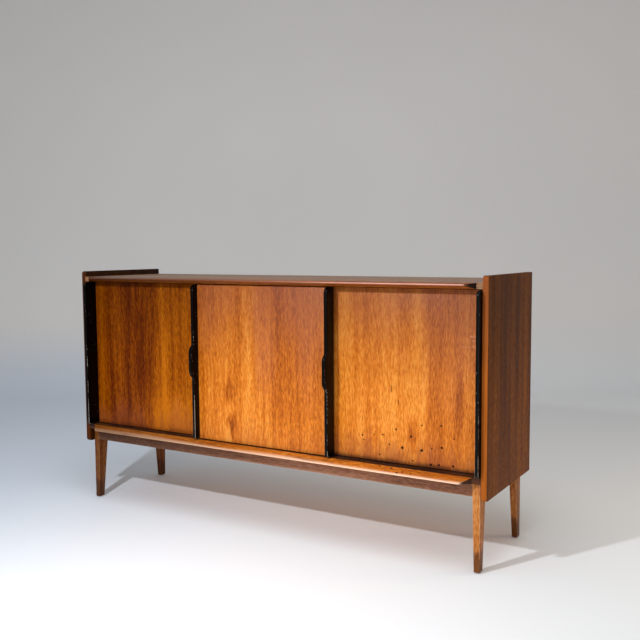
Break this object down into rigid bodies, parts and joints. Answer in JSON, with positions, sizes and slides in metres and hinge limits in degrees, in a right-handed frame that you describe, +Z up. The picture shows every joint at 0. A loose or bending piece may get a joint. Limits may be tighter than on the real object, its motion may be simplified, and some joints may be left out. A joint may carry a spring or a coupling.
{
  "type": "sideboard buffet",
  "caption": "Long low sideboard on slim tapered legs with sliding wooden doors, upright black edge handles and raised side panels.",
  "frame": {"origin": "on the floor, under the middle of the overall width and depth", "axes": "+X to the right seen from the front, +Y to the back, +Z up"},
  "size_m": [1.6, 0.442, 0.87],
  "materials": {
    "case_wood": "dark oiled veneer, satin",
    "top_wood": "oiled veneer with a worn sheen",
    "door_wood": "golden brown vertical veneer, satin",
    "nosing_wood": "solid reddish brown wood, satin",
    "leg_wood": "solid wood, oiled",
    "inner_wood": "plain sanded wood",
    "black_lacquer": "black lacquer, worn at the edges",
    "steel": "zinc plated",
    "nylon": "matt"
  },
  "bodies": {
    "cabinet": {"back_panel": "inner_wood", "back_panel_nails": "steel", "bottom_board": "door_wood", "bottom_nosing": "nosing_wood", "case_dowels": "inner_wood", "centre_shelf": "inner_wood", "corner_blocks": "inner_wood", "foot_glides": "nylon", "frame_screws": "steel", "front_left_leg": "leg_wood", "front_rail": "leg_wood", "front_right_leg": "leg_wood", "left_gable": "case_wood", "left_partition": "inner_wood", "left_shelf": "inner_wood", "left_side_rail": "inner_wood", "middle_bearer": "inner_wood", "partition_dowels": "inner_wood", "rail_dowels": "inner_wood", "rear_left_leg": "leg_wood", "rear_rail": "inner_wood", "rear_right_leg": "leg_wood", "right_gable": "case_wood", "right_partition": "inner_wood", "right_shelf": "inner_wood", "right_side_rail": "inner_wood", "shelf_pegs": "steel", "top_board": "top_wood", "top_nosing": "nosing_wood"},
    "left_door": {"left_door_dowels": "inner_wood", "left_door_fin": "black_lacquer", "left_door_glides": "nylon", "left_door_guide_pins": "nylon", "left_door_panel": "door_wood"},
    "centre_door": {"centre_door_dowels": "inner_wood", "centre_door_glides": "nylon", "centre_door_guide_pins": "nylon", "centre_door_left_fin": "black_lacquer", "centre_door_panel": "door_wood", "centre_door_right_fin": "black_lacquer"},
    "right_door": {"right_door_dowels": "inner_wood", "right_door_fin": "black_lacquer", "right_door_glides": "nylon", "right_door_guide_pins": "nylon", "right_door_panel": "door_wood"}
  },
  "joints": [
    {"name": "left_door_slide", "type": "slide", "parent": "cabinet", "child": "left_door", "axis": [1, 0, 0], "range_m": [-0.005, 0.23]},
    {"name": "centre_door_slide", "type": "slide", "parent": "cabinet", "child": "centre_door", "axis": [1, 0, 0], "range_m": [-0.27, 0.245]},
    {"name": "right_door_slide", "type": "slide", "parent": "cabinet", "child": "right_door", "axis": [-1, 0, 0], "range_m": [0, 0.23]}
  ]
}
